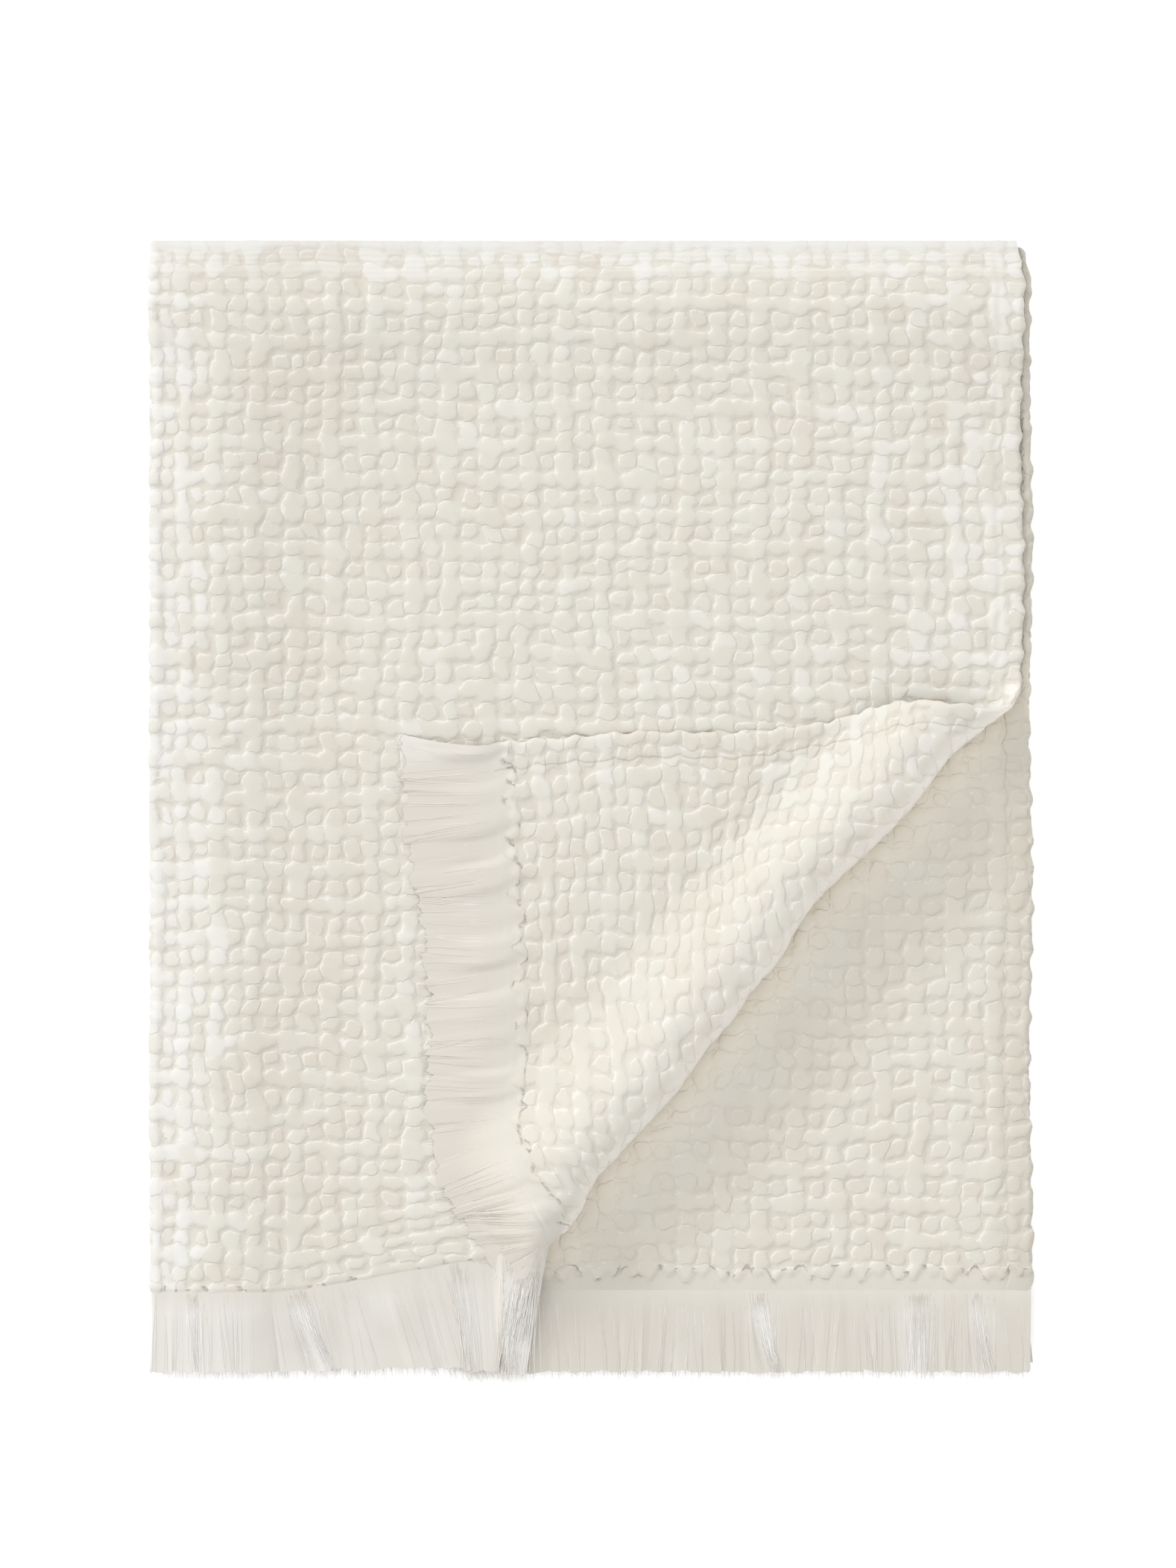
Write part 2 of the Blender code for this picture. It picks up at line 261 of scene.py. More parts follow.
GATHERED_START = 0.25          # how much sooner the last ones come out where they gather
STRAY, TUFT_STRAY = 0.0020, 0.0030    # how far they lean at random, and how much more in the tuft
CURL = 0.0007                  # how far they curl
CURL_TURNS = (0.4, 1.6)        # fewest and most turns of their curl
CURL_SHIFT = 9000              # start of their curl, in radians per metre of its size
TURNED_SHADE = 0.5            # how much warmer and darker the mat is on the turned-back corner: painted shade
UNDER_SHADE = 0.35            # how much warmer and darker it is on the two inner layers: painted shade
TUFT_PAINTED_LIGHT = 1.3               # how much paler it is in the tuft: painted light where the roll shades it
PLEAT_HEIGHT = 0.0022
PLEAT_REACH = 0.045            # cloth over which the pleats of an end die out
PLEAT_GROWTH = 0.050           # cloth past the crease over which they grow

# Meshing: levels of a triangular lattice, each twice as wide as the one before
LEVELS = 4
BORDER_GAP = 0.6               # least gap from the lattice to its border, in spacings
SQUARE = np.array(((-1, -1), (1, -1), (1, 1), (-1, 1)))    # corners in order
COARSENING = 0.6               # how fast the lattice may widen with the depth at which it is hidden
EDGE_GIVE = 0.05               # cloth over which the lattice follows the selvedges
FLAP_TOP, FLAP_LEFT = 0.040, -0.062    # Y below which and X past which the turned-back corner lies
FOLD_SHOWN = 0.008             # cloth beside the long fold that shows
TURN_SHOWN = 0.012             # cloth beside the cross fold and beside the roll that shows
UNCOVERED = 0.010              # place past the crease where the second layer comes out
EDGE_SHOWN = 0.004             # cloth along the selvedges that shows
NEVER_SHOWN = 0.1              # depth of cloth that lies wholly inside
FOLD_CROWDING = (
    # share by which the lattice closes up on a fold, and over what distance
    (0.50, 0.006),
    (0.40, 0.010),
)

# Stage
FLOOR_REACH = 6.0              # half of the floor's width
SENSOR = 36.0                  # width of the camera's sensor, in millimetres
CAMERA_PLACE = (-0.0025, 0.0148)     # X and Y of the camera from the blanket's middle
CAMERA_REACH = 50.0            # distance of the farthest thing that it sees


# ---------------------------------------------------------------- folds

def smooth(value):
    """Ease from 0 to 1 as value goes from 0 to 1."""
    value = np.clip(value, 0.0, 1.0)
    return value * value * (3.0 - 2.0 * value)


def ramp(value, start, reach):
    """Ease from 0 to 1 as value goes on from start by reach."""
    return smooth((value - start) / reach)


def bell(value, middle, reach):
    """1 where value is in the middle, falling softly to 0 on both sides."""
    return np.exp(-((value - middle) / reach) ** 2)


def crease_at(up):
    """Start, radius and mirror line of the roll at places along the crease."""
    row = np.clip(np.searchsorted(CREASE[:, 0], up) - 1, 0, len(CREASE) - 2)
    before, after = CREASE.T[:, row], CREASE.T[:, row + 1]
    share = smooth((up - before[0]) / (after[0] - before[0]))
    reach, radius, mirror = (before + (after - before) * share)[1:]
    return reach - radius, radius, mirror


def layer_gap(across, along):
    """Distance between the middles of neighbouring layers at places in the stack."""
    lifts = []
    for distance, (crest, spread, height) in zip((across, along), RIDGES):
        lifts.append(height * bell(distance, crest, spread))
    lift = lifts[0] + lifts[1] - lifts[0] * lifts[1] / TALLEST_RIDGE
    for turns_across, turns_along, phase, height in RIPPLES:
        turns = turns_across * across + turns_along * along
        lift = lift + height * np.sin(math.tau * turns + phase)
    return LAYER_PITCH + lift / 3


def folded(across, along):
    """Places of points of the flat cloth once both folds are made."""
    gap = layer_gap(abs(across), abs(along))
    half_turn = np.clip(across / LONG_FOLD_ARC, -1.0, 1.0) * math.pi / 2
    level = 1.0 + 0.5 * np.sin(half_turn)
    in_fold = FOLD_LEFT + CLOTH_THICKNESS / 2 + LONG_FOLD_RADIUS * (1 - np.cos(half_turn))
    x = np.where(abs(across) < LONG_FOLD_ARC, in_fold, ACROSS_ORIGIN + abs(across))
    turn = np.clip(along / CROSS_FOLD_ARC, -1.0, 1.0) * math.pi / 2
    in_turn = CROSS_FOLD_AXIS + level * LAYER_PITCH * np.cos(turn)
    y = np.where(abs(along) < CROSS_FOLD_ARC, in_turn, ALONG_ORIGIN - abs(along))
    middle = CLOTH_THICKNESS / 2 + 1.5 * gap
    return np.stack((x, y, middle + level * gap * np.sin(turn)), -1)


def turned_back(place):
    """Places of points of the top layer once its free corner is turned back."""
    down = (place[..., 0] - place[..., 1]) / math.sqrt(2)
    up = (place[..., 0] + place[..., 1]) / math.sqrt(2)
    start, radius, mirror = crease_at(up)
    past = down - start
    pull = PULL_UP * ramp(-up, *PULL_DOWN_CREASE) * ramp(past, *PULL_BEFORE_ROLL)
    up_now = up + pull * (1 - ramp(past, *PULL_PAST_ROLL))
    beyond = past - math.pi * radius
    spare = 2 * (mirror - start) - math.pi * radius
    laid_down = start - beyond + spare * smooth(beyond / TAKE_UP_LENGTH)
    fallen = LAYER_PITCH + (2 * radius - LAYER_PITCH) * (1 - smooth(beyond / ROLL_FALL))
    flat, laid = past <= 0, beyond > 0
    angle = past / radius
    down_now = np.select((flat, laid), (down, laid_down), start + radius * np.sin(angle))
    height = np.select((flat, laid), (0.0, fallen), radius * (1 - np.cos(angle)))
    up_now = up_now + np.where(laid, CORNER_SHIFT * smooth(beyond / TAKE_UP_LENGTH), 0.0)
    x = (up_now + down_now) / math.sqrt(2)
    y = (up_now - down_now) / math.sqrt(2)
    gap = layer_gap(x - ACROSS_ORIGIN, ALONG_ORIGIN - y)
    return np.stack((x, y, CLOTH_THICKNESS / 2 + 3 * gap + height), -1)


def waves(table, across, along):
    """Sum of the waves in a table, from about -1 to 1, at points of the flat cloth."""
    total = 0.0
    for turns_across, turns_along, share in table:
        turns = turns_across * across + turns_along * along
        total = total + share * np.sin(math.tau * turns + 40 * share + 0.3 * turns_across)
    return total


def pleats(across, along):
    """How far the soft pleats of the upper end stand up."""
    near_end = smooth((along - HALF_LENGTH + PLEAT_REACH) / PLEAT_REACH)
    turned = np.where(across > 0, smooth(past_crease(across, along) / PLEAT_GROWTH), 0.0)
    return near_end * (0.2 + 0.8 * turned) * smooth(0.45 + 0.9 * waves(PLEAT_WAVES, across, along))


def placed(across, along):
    """Places of points of the flat cloth in the finished blanket."""
    place = folded(across, along)
    top = (across > LONG_FOLD_ARC) & (along > CROSS_FOLD_ARC)
    place = np.where(top[..., None], turned_back(place), place)
    place[..., 2] += PLEAT_HEIGHT * pleats(across, along)
    return place


def runs(across, along):
    """Short steps over the finished cloth, towards a selvedge and towards an end."""
    run_across = placed(across + PROBE, along) - placed(across - PROBE, along)
    run_along = placed(across, along + PROBE) - placed(across, along - PROBE)
    return run_across, run_along


def facing(across, along):
    """Unit vectors square to the finished cloth, out of its right side."""
    run_across, run_along = runs(across, along)
    return unit(np.cross(run_along, run_across))


def leaning(across, along):
    """Which way the puffs lean on the flat cloth, as unit vectors."""
    return unit(np.stack([run @ LEAN for run in runs(across, along)], -1))


def unit(vectors):
    """Vectors made one metre long."""
    return vectors / np.maximum(np.linalg.norm(vectors, axis=-1, keepdims=True), 1e-12)


def in_quarters(across, along):
    """X and Y of points of the flat cloth, folded in four but not turned back."""
    return ACROSS_ORIGIN + abs(across), ALONG_ORIGIN - abs(along)


def past_crease(across, along):
    """How far points of the flat cloth lie past the line where the roll starts."""
    x, y = in_quarters(across, along)
    return (x - y) / math.sqrt(2) - crease_at((x + y) / math.sqrt(2))[0]


def selvedge(side, along):
    """Distance from the long fold to a selvedge."""
    edges = []
    for half in (+1, -1):
        edge, wave, length, phase = SELVEDGE[side, half]
        edges.append(edge + wave * np.sin(math.tau * along / length + phase))
    edge = edges[1] + (edges[0] - edges[1]) * smooth(0.5 + along / EDGE_CHANGE)
    for turns, phase, height in SCALLOPS:
        edge = edge + height * np.sin(math.tau * turns * along + phase * side)
    return edge - ACROSS_ORIGIN - CORNER_DRAW * bell(along, 0, CORNER_REACH)


def nearest_selvedge(across, along):
    """Distance from the long fold to the selvedge of the half that points lie in."""
    return np.where(across > 0, selvedge(+1, along), selvedge(-1, along))


# ---------------------------------------------------------------- weave

def drifted(across, along, cell_width, cell_height):
    """Weave places of points of the flat cloth, in cells, with its slow wander."""
    places = []
    for distance, cell, (gain, reach) in zip((across, along), (cell_width, cell_height), SQUEEZES):
        places.append(distance / cell + gain * np.tanh(distance / reach))
    place = np.stack(places, -1)
    for turns_across, turns_along, phase, *moves in DRIFTS:
        wave = np.sin(math.tau * (turns_across * across + turns_along * along) + phase)
        place = place + wave[:, None] * moves
    return place


def puff_fields(place, odd, spread):
    """Closeness to the puffs at weave places, how tall they stand, and their tint.

    Closeness is 1 in the middle of a puff and 0 at its rim, kept apart for the even
    ridges, the odd ridges and the puffs that lie low between them.  odd is a table of
    random numbers for each cell and spread is how much they count.
    """
    kinds = np.array([row[1:] for row in PUFFS])
    total = np.zeros((3, len(place)))
    weight, tall_sum, tint_sum = np.zeros((3, len(place)))
    for step in np.ndindex(3, 3):
        cell = np.floor(place).astype(int) + step - 1
        draws = odd[cell[:, 1] % ODD_TABLE[0], cell[:, 0] % ODD_TABLE[1]]
        high, shade, lot = draws[:, 4:].T
        lot = lot * 0.5 + 0.5
        kind = cell[:, 0] % 2 + 2 * (cell[:, 1] % 2)
        after, before = kinds[kind, 4:].T
        row = cell[:, 1] // 2
        family = np.select((lot < after, lot < after + before), ((row + 1) % 2, row % 2), 2)
        kind = np.where((kind == BUTTON) & (family < 2), BAR, kind)
        tall, square = kinds[kind, 2:4].T
        off = place - cell - 0.5 - ODD_SHIFT * spread * draws[:, :2]
        reach = kinds[kind, :2] * (1 + ODD_SIZE * spread * draws[:, 2:4])
        away = (abs(off / reach) ** square[:, None]).sum(-1) ** (1 / square)
        pull = np.exp((1 - away) / MERGE)
        total += pull * (family == np.arange(3)[:, None])
        weight += pull
        tall_sum += pull * tall * (1 + ODD_HEIGHT * spread * high)
        # the tint is a random tone for each puff, plus painted shade on the low buttons
        tint_sum += pull * (shade + BUTTON_SHADE * (kind == BUTTON))
    closeness = np.maximum(MERGE * np.log(np.maximum(total, 1e-9)), -1.0)
    return closeness.T, tall_sum / weight, tint_sum / weight


# ---------------------------------------------------------------- cloth mesh

def crowded(distance, share, reach):
    """Lattice distances closed up on a fold at zero."""
    return distance * (1 - share * bell(distance, 0, reach))


def flat_place(lattice):
    """Points of the flat cloth for points of the lattice."""
    along = crowded(lattice[:, 1], *FOLD_CROWDING[1])
    across = crowded(lattice[:, 0], *FOLD_CROWDING[0])
    edge = nearest_selvedge(across, along)
    give = smooth((abs(across) - HALF_WIDTH + EDGE_GIVE) / EDGE_GIVE)
    return across + np.sign(across) * (edge - HALF_WIDTH) * give, along


def hidden_depth(across, along, right):
    """How far inside the hidden part of one side of the cloth points lie; 0 where it shows."""
    x, y = in_quarters(across, along)
    past = past_crease(across, along)
    outer, top = across > 0, along > 0
    near_fold = abs(across) - FOLD_SHOWN
    if right:
        under = np.minimum(FLAP_TOP - y, np.maximum(x - FLAP_LEFT, past + TURN_SHOWN))
        depth = np.where(outer & top, np.maximum(under, 0), near_fold)
        depth = np.where(outer & ~top, np.minimum(near_fold, abs(along) - TURN_SHOWN), depth)
    else:
        depth = np.where(outer & top, TURN_SHOWN - past, abs(across) + NEVER_SHOWN)
        depth = np.where(~outer & top, UNCOVERED - past, depth)
    to_edge = HALF_WIDTH - abs(across) - EDGE_SHOWN
    return np.maximum(np.minimum(depth, to_edge), 0)


def lattice_points(spacing, right):
    """Inner points of a side's lattice, fine where that side shows."""
    pitch = np.array((spacing / 2, spacing * math.sqrt(0.75)))
    corner = np.array((HALF_WIDTH, HALF_LENGTH))
    kept = []
    for level in range(LEVELS):
        step = 2 ** level
        counts = (corner / pitch / step).astype(int)
        cells = np.stack(np.meshgrid(*[np.arange(-count, count + 1) for count in counts]), -1)
        points = cells[cells.sum(-1) % 2 == 0] * step * pitch
        points = points[(abs(points) < corner - BORDER_GAP * spacing * step).all(-1)]
        if level < LEVELS - 1:
            wanted = spacing + COARSENING * hidden_depth(*flat_place(points), right)
            points = points[wanted < 2 * step * spacing]
        kept.append(points)
    return np.unique(np.round(np.concatenate(kept), 7), axis=0)


def border_points(spacing):
    """Points round the lattice, in order, the same for both sides of the cloth."""
    corners = SQUARE * (HALF_WIDTH, HALF_LENGTH)
    points = []
    for start, end in zip(corners, np.roll(corners, -1, axis=0)):
        count = round(np.linalg.norm(end - start) / spacing)
        share = np.arange(count)[:, None] / count
        points.append(start + (end - start) * share)
    return np.concatenate(points)


def side_of_cloth(border, settings, right, odd):
    """Vertices, triangles and surface values of one side of the cloth."""
    spacing = settings.spacing
    lattice = np.concatenate((border, lattice_points(spacing, right)))
    ring = [(i, (i + 1) % len(border)) for i in range(len(border))]
    triangles = delaunay_2d_cdt([Vector(point) for point in lattice], ring, [], 1, 1e-9)[2]
    across, along = flat_place(lattice)
    place = drifted(across, along, settings.cell_width, settings.cell_height)
    if not right:
        place = place + 1    # its puffs stand where the right side is low
    puffs, tall, tint = puff_fields(place, odd, settings.unevenness)
    step = LEAN_STEP * leaning(across, along)
    lean = puff_fields(place + step, odd, settings.unevenness)[0] - puffs
    depth = hidden_depth(across, along, right)
    fine = 1 - smooth(depth / (1.5 * spacing) - 0.5)
    dome = 1 - np.clip(1 - puffs.max(-1), 0, 1) ** PUFF_ROUND
    patterned = woven(across, along, settings.header if right else settings.end_hem)
    to_edge = nearest_selvedge(across, along) - abs(across)
    lift = relief(across, along, to_edge, tall * dome, patterned, settings)
    half = PLAIN_HALF + (BARE_HALF + lift - PLAIN_HALF) * fine
    way = 1 if right else -1
    vertices = placed(across, along) + facing(across, along) * (way * half)[:, None]
    values = {
        "puffs": puffs,
        "lean": lean,
        "cloth": np.stack((across, along, fine * patterned), -1),
        # tint: random tone, warmer on the wrong side, and painted shade on the low buttons
        "tint": tint if right else tint + WRONG_SIDE_TINT,
        "edge": to_edge,
        "seam": np.ones(len(across)) if right else to_edge - settings.hem,
        # painted light and shade round the roll, on the wrong side only
        "glow": np.zeros(len(across)) if right else roll_glow(across, along),
    }
    return vertices, np.array(triangles)[:, ::-way], values


def roll_glow(across, along):
    """Painted light: how much the flank of the roll and the cloth beside it light each other up.

    It is below 0, as painted shade, on the crest of the roll and in the soft shade beside it.
    """
    past = past_crease(across, along)
    flank, crest, beside, shade = [strength * bell(past, place, reach) for place, reach, strength in GLOW]
    return (along > 0) * np.where(across > 0, flank + crest, beside + shade)


def woven(across, along, header):
    """1 where the weave shows, 0 in the plain band before each fringe."""
    header = header * (1 + BAND_UNEVEN * waves(TIP_WAVES[:2], across, 0))
    return smooth((HALF_LENGTH - abs(along) - header) / BAND_RIM + 0.5)


def relief(across, along, to_edge, height, patterned, settings):
    """How far the puffs stand up, pressed down at the hem's stitches and the edges."""
    to_end = HALF_LENGTH - abs(along)
    stitched = bell(to_edge, settings.hem, STITCH_REACH)
    in_hem = 1 - smooth((to_edge - settings.hem) / HEM_RIM + 1)
    height = np.maximum(height, 0) * (1 - HEM_PRESSED * in_hem) + PLAIN_LIFT * in_hem
    height = height * (1 - STITCH_PRESSED * stitched)
    height = height * patterned + PLAIN_LIFT * (1 - patterned)
    height = height * (1 - FOLD_PRESSED * bell(along, 0, FOLD_PRESSED_REACH))
    rounded = smooth(to_edge / SELVEDGE_ROUND + 0.25) * smooth(to_end / END_ROUND)
    bulge = 1 + settings.bulge * bell(np.minimum(abs(across), to_edge), 0, BULGE_REACH)
    return settings.puff_height * height * rounded * bulge


def new_mesh(name, vertices, faces, values):
    """A mesh kept above the floor, with its surface values, smooth apart from its sharp rims."""
    vertices[:, 2] = np.maximum(vertices[:, 2], CLOTH_LOW[2] + FLOOR_GAP)
    mesh = bpy.data.meshes.new(name)
    mesh.from_pydata(vertices, [], faces)
    for key, numbers in values.items():
        kind, field = ("FLOAT", "value") if numbers.ndim == 1 else ("FLOAT_VECTOR", "vector")
        mesh.attributes.new(key, kind, "POINT").data.foreach_set(field, numbers.ravel())
    mesh.shade_smooth()
    mesh.set_sharp_from_angle(angle=RIM_ANGLE)
    return mesh


def cloth_mesh(name, settings):
    """The whole cloth as one closed mesh, right side, wrong side and rim."""
    border = border_points(settings.spacing)
    odd = np.random.default_rng(WEAVE_SEED).uniform(-1, 1, ODD_TABLE)
    sides = [side_of_cloth(border, settings, right, odd) for right in (True, False)]
    vertices, triangles, values = zip(*sides)
    ring = np.arange(len(border))
    after = np.roll(ring, -1)
    below = len(vertices[0])
    rim = np.concatenate((
        np.stack((ring, after, ring + below), -1),
        np.stack((after, after + below, ring + below), -1),
    ))
    triangles = np.concatenate((triangles[0], triangles[1] + below, rim))
    joined = {key: np.concatenate([side[key] for side in values]) for key in values[0]}
    return new_mesh(name, np.concatenate(vertices), triangles, joined)


# ---------------------------------------------------------------- fringe mesh

def flatness(root, half):
    """1 where strands leave flat cloth, 0 where they leave the roll or the turned-back corner."""
    flat = smooth(0.5 - past_crease(root, half * HALF_LENGTH) / FLAT_REACH)
    return np.where((root > 0) & (half > 0), flat, 1.0)


def tip_trim(root, half, settings):
    """How much shorter than the longest the strands are cut."""
    uneven = settings.tip * (1 + CUT_UNEVEN * (1 - flatness(root, half)))
    return uneven * (1 - waves(TIP_WAVES, root, 0))


def end_span(half):
    """Places of the two corners of an end of the cloth, along that end."""
    return -selvedge(-1, half * HALF_LENGTH), selvedge(+1, half * HALF_LENGTH)


def along_end(root, half):
    """Unit vectors along an end of the finished cloth."""
    end = half * HALF_LENGTH
    return unit(placed(root + PROBE, end) - placed(root - PROBE, end))


def strand_lean(root, half, settings):
    """How far the strands lean along the end at their tips."""
    return settings.slant * waves(SLANT_WAVES, root, 0) + locks(root, half)[0]


def strand_course(root, share, lean, longer, half, settings):
    """Places along strands from their root, at share 0, to their tip, at share 1.

    A strand leaves the cloth straight.  Over the flat cloth it sags towards the floor, on
    the turned-back corner it settles a little, and at the end of the roll it hangs down.
    """
    end = half * HALF_LENGTH
    base = placed(root, end)
    run = unit(base - placed(root, end - half * LAST_CLOTH))
    beside = along_end(root, half)
    flat = flatness(root, half)
    reach = FRINGE_LENGTH + (base[..., 1] - FRINGE_TIP - FRINGE_LENGTH) * flat
    reach = reach + CORNER_STRANDS * ramp(root, *CORNER_STRETCH) * (1 - flat)
    reach = reach - tip_trim(root, half, settings) + longer
    out = share.clip(0)
    points = base + run * (reach * share)[..., None] + beside * (lean * out ** 1.5)[..., None]
    fall = points[:, :1] + 0 * points    # where strands of the tuft hang
    fall[..., 0] += out * (TUFT_GATHER * (TUFT_MIDDLE - fall[..., 0]) + lean)
    fall[..., 1] -= out * (fall[..., 1] - FRINGE_TIP + longer)
    points = points + (fall - points) * in_tuft(root, half)[..., None]
    lying = rest_height(points, out)
    settled = np.maximum(points[..., 2] + (lying - points[..., 2]) * smooth(out * 1.3), lying)
    points[..., 2] *= 1 - SAG * smooth(out) * flat
    points[..., 2] += (settled - points[..., 2]) * (1 - flat)
    return points


def locks(root, half):
    """Lean of the locks that stand apart from the combed fringe, and where they are."""
    lean, apart = np.zeros((2,) + root.shape)
    for middle, reach, tips, spread in LOCKS:
        share = bell(root, middle, reach) * (half > 0)
        lean += share * (tips + spread * (root - middle))
        apart = np.maximum(apart, share)
    return lean, apart


def in_tuft(root, half):
    """1 for strands that hang from the end of the roll, 0 for the others."""
    past = past_crease(root, HALF_LENGTH) * np.sign(root) * half
    begins = smooth((past - TUFT[0]) / TUFT_RIMS[0] + 0.5)
    return begins * smooth((TUFT[1] - past) / TUFT_RIMS[1] + 0.5)


def rest_height(points, share):
    """Height of a strand that lies on top of the stack, or on the fringe beyond it."""
    gap = layer_gap(points[..., 0] - ACROSS_ORIGIN, ALONG_ORIGIN - points[..., 1])
    beyond = smooth((FRINGE_BASE - points[..., 1]) / FRINGE_LENGTH)
    lift = STRAND_LIFT * (1 - TIP_SETTLE * share ** 2)
    return (CLOTH_THICKNESS / 2 + 3 * gap + lift) * (1 - SAG * beyond)


def gathered(root, half):
    """1 where the loose strands gather in a lock or in the tuft."""
    return locks(root, half)[1].clip(in_tuft(root, half), 1)


def mat_half(root, share, half, settings):
    """Half of the thickness of the matted fringe."""
    bunch = 0.5 + 0.5 * waves(BUNCH_WAVES, root, half * share * FRINGE_LENGTH)
    full = MAT_ROOT + (MAT_BUNCHED * bunch - MAT_BUNCHED / 2) * smooth(share * 4)
    return settings.mat / 2 * np.where(share < ROOT_SHARE, 0.5, full) * (1 - 0.95 * share ** 4)


def mat_sheets(half, settings):
    """Vertices, faces and values of the matted fringe, its two faces."""
    low, high = end_span(half)
    columns = round((high - low) / settings.mat_spacing)
    stations = np.concatenate(([2 * ROOT_SHARE], np.linspace(ROOT_SHARE, 1, settings.steps)))
    share, root = np.meshgrid(stations, np.linspace(low, high, columns))
    covered = (half < 0) | ((root < 0) & (root > -COVERED))
    longer = np.where(covered, -MAT_REACH / 2, MAT_REACH)
    middle = strand_course(root, share, strand_lean(root, half, settings), longer, half, settings)
    upwards = unit(np.cross(np.gradient(middle, axis=1), np.gradient(middle, axis=0)))
    out = upwards * mat_half(root, share, half, settings)[..., None]
    vertices = np.concatenate((middle + out, middle - out)).reshape(-1, 3)
    point = np.arange(2 * share.size).reshape((2,) + share.shape)
    quads = np.stack((point[:, :-1, :-1], point[:, 1:, :-1], point[:, 1:, 1:], point[:, :-1, 1:]), -1)
    quads = np.concatenate((quads[0, ..., ::-1], quads[1])).reshape(-1, 4)
    tuft = in_tuft(root, half)
    # painted shade on the turned-back corner and the inner layers; the tuft is painted lighter
    warmer = TURNED_SHADE * (1 - flatness(root, half)) * (1 - tuft) + UNDER_SHADE * (root < 0)
    tint = locks(root, half)[1] + TUFT_PAINTED_LIGHT * tuft - warmer - 1
    values = np.stack((root, share, tint), -1)
    return vertices, quads, np.concatenate((values, values)).reshape(-1, 3)


def strand_paths(half, settings):
    """Points along every loose strand, strands by steps by XYZ, with values for each."""
    rng = np.random.default_rng(FRINGE_SEED + half)
    low, high = end_span(half)
    root = rng.uniform(low + BARE_CORNER, high - BARE_CORNER, settings.strands * 3)
    root = root[rng.uniform(0, 3, len(root)) < 1 + 2 * gathered(root, half)][:, None]
    many = len(root)
    apart = gathered(root, half)
    start = rng.uniform(FIRST_START, LAST_START - GATHERED_START * apart, (many, 1))
    share = start + (1 - start) * np.linspace(0, 1, settings.steps + 1)
    astray = rng.normal(0, STRAY + TUFT_STRAY * in_tuft(root, half), (many, 1))
    curl = rng.normal(0, CURL, (many, 1))
    turns = rng.uniform(*CURL_TURNS, (many, 1)) * share
    curled = curl * np.sin(math.tau * turns + CURL_SHIFT * curl)
    lean = strand_lean(root, half, settings) + astray + curled
    longer = LOOSE_REACH * rng.uniform(0, 1, (many, 1)) ** 2
    points = strand_course(root, share, lean, longer, half, settings)
    upwards = unit(np.cross(np.gradient(points, axis=1), along_end(root, half)))
    side = np.sign(rng.uniform(-1, 1, (many, 1)) + apart * np.sign(root))
    above = rng.uniform(-0.5, 0.3 + 1.5 * apart, (many, 1)) * settings.strand * (0.3 + share)
    off = side * (mat_half(root, share, half, settings) + above)
    tint = np.clip(rng.normal(0.8 * apart, 0.4, (many, 1)), -0.8, 1) + 0 * share
    return points + upwards * off[..., None], np.stack((root + 0 * share, share, tint), -1)


def strand_tubes(half, settings):
    """Vertices, faces and values of the loose strands as thin three-sided threads."""
    points, values = strand_paths(half, settings)
    count, stations = points.shape[:2]
    tangent = unit(np.gradient(points, axis=1))
    sideways = unit(np.cross(tangent, (0.0, 0.0, 1.0)))
    outwards = np.cross(sideways, tangent)
    share = np.linspace(0, 1, stations)[None, :, None, None]
    thick = settings.strand / 2 * (1 - 0.6 * (2 * share - 1) ** 4)
    turn = np.radians((30, 150, 270))[None, None, :, None]
    ring = np.cos(turn) * sideways[:, :, None] + np.sin(turn) * outwards[:, :, None]
    vertices = (points[:, :, None] + thick * ring).reshape(-1, 3)
    point = np.arange(count * stations * 3).reshape(count, stations, 3)
    ahead = np.roll(point, -1, axis=2)
    quads = np.stack((point[:, :-1], point[:, 1:], ahead[:, 1:], ahead[:, :-1]), -1)
    return vertices, quads.reshape(-1, 4), np.repeat(values.reshape(-1, 3), 3, axis=0)


def fringe_mesh(name, half, settings):
    """The matted fringe of one end and the loose strands on it, joined in one mesh."""
    vertices, faces, values = zip(mat_sheets(half, settings), strand_tubes(half, settings))
    faces = np.concatenate((faces[0], faces[1] + len(vertices[0])))
    return new_mesh(name, np.concatenate(vertices), faces, {"comb": np.concatenate(values)})


# ---------------------------------------------------------------- finishes

class Value:
    """A number or vector that varies over a surface: the output of a node, with arithmetic."""

    def __init__(self, finish, socket):
        self.finish = finish
        self.socket = socket

    def maths(self, operation, *values):
        """A number worked out from others."""
        return self.finish.node("ShaderNodeMath", {"operation": operation}, dict(enumerate(values)))

    def __add__(self, other):
        return self.maths("ADD", self, other)

    __radd__ = __add__

    def __sub__(self, other):
        return self.maths("SUBTRACT", self, other)

    def __rsub__(self, other):
        return self.maths("SUBTRACT", other, self)

    def __mul__(self, other):
        return self.maths("MULTIPLY", self, other)

    __rmul__ = __mul__

    def larger(self, other):
        """The larger of two numbers."""
        return self.maths("MAXIMUM", self, other)

    def smaller(self, other):
        """The smaller of two numbers."""
        return self.maths("MINIMUM", self, other)

    def reaches(self, other):
        """1 where this value is as large as another, 0 elsewhere."""
        return 1 - self.maths("LESS_THAN", self, other - 1e-5)

    def sine(self):
        """Waves from -1 to 1."""
        return self.maths("SINE", self)

    def away(self):
        """Distance from 0."""
        return self.maths("ABSOLUTE", self)

    def eased(self, low, high):
        """0 below low, 1 above high, and smooth in between."""
        settings = {"interpolation_type": "SMOOTHSTEP"}
        return self.finish.node("ShaderNodeMapRange", settings, {0: self, 1: low, 2: high})

    def beside(self, low, high):
        """1 up to a distance of low from 0, and 0 from a distance of high on."""
        return 1 - self.away().eased(low, high)


